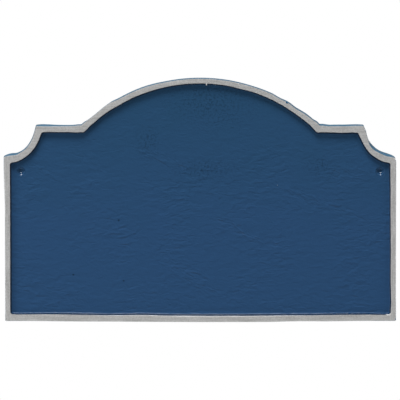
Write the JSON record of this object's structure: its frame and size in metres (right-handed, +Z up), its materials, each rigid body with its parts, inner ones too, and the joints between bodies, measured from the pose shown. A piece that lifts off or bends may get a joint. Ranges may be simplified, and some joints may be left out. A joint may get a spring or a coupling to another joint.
{
  "type": "address plaque",
  "caption": "Wall plaque with an arched top, scooped corners and a raised border round a bare field for house numbers, screwed flat to a wall.",
  "frame": {"origin": "on the flat back face, midway between the two screw holes", "axes": "+X to the right as seen by someone reading the plaque, +Y out of the back into the wall, +Z up"},
  "size_m": [0.4, 0.0095, 0.2494],
  "materials": {
    "blue_enamel_aluminium": "sand-cast aluminium under a satin dark blue enamel, with the border's front face sanded back to bare metal"
  },
  "bodies": {
    "root": {"plaque_casting": "blue_enamel_aluminium"}
  },
  "joints": []
}
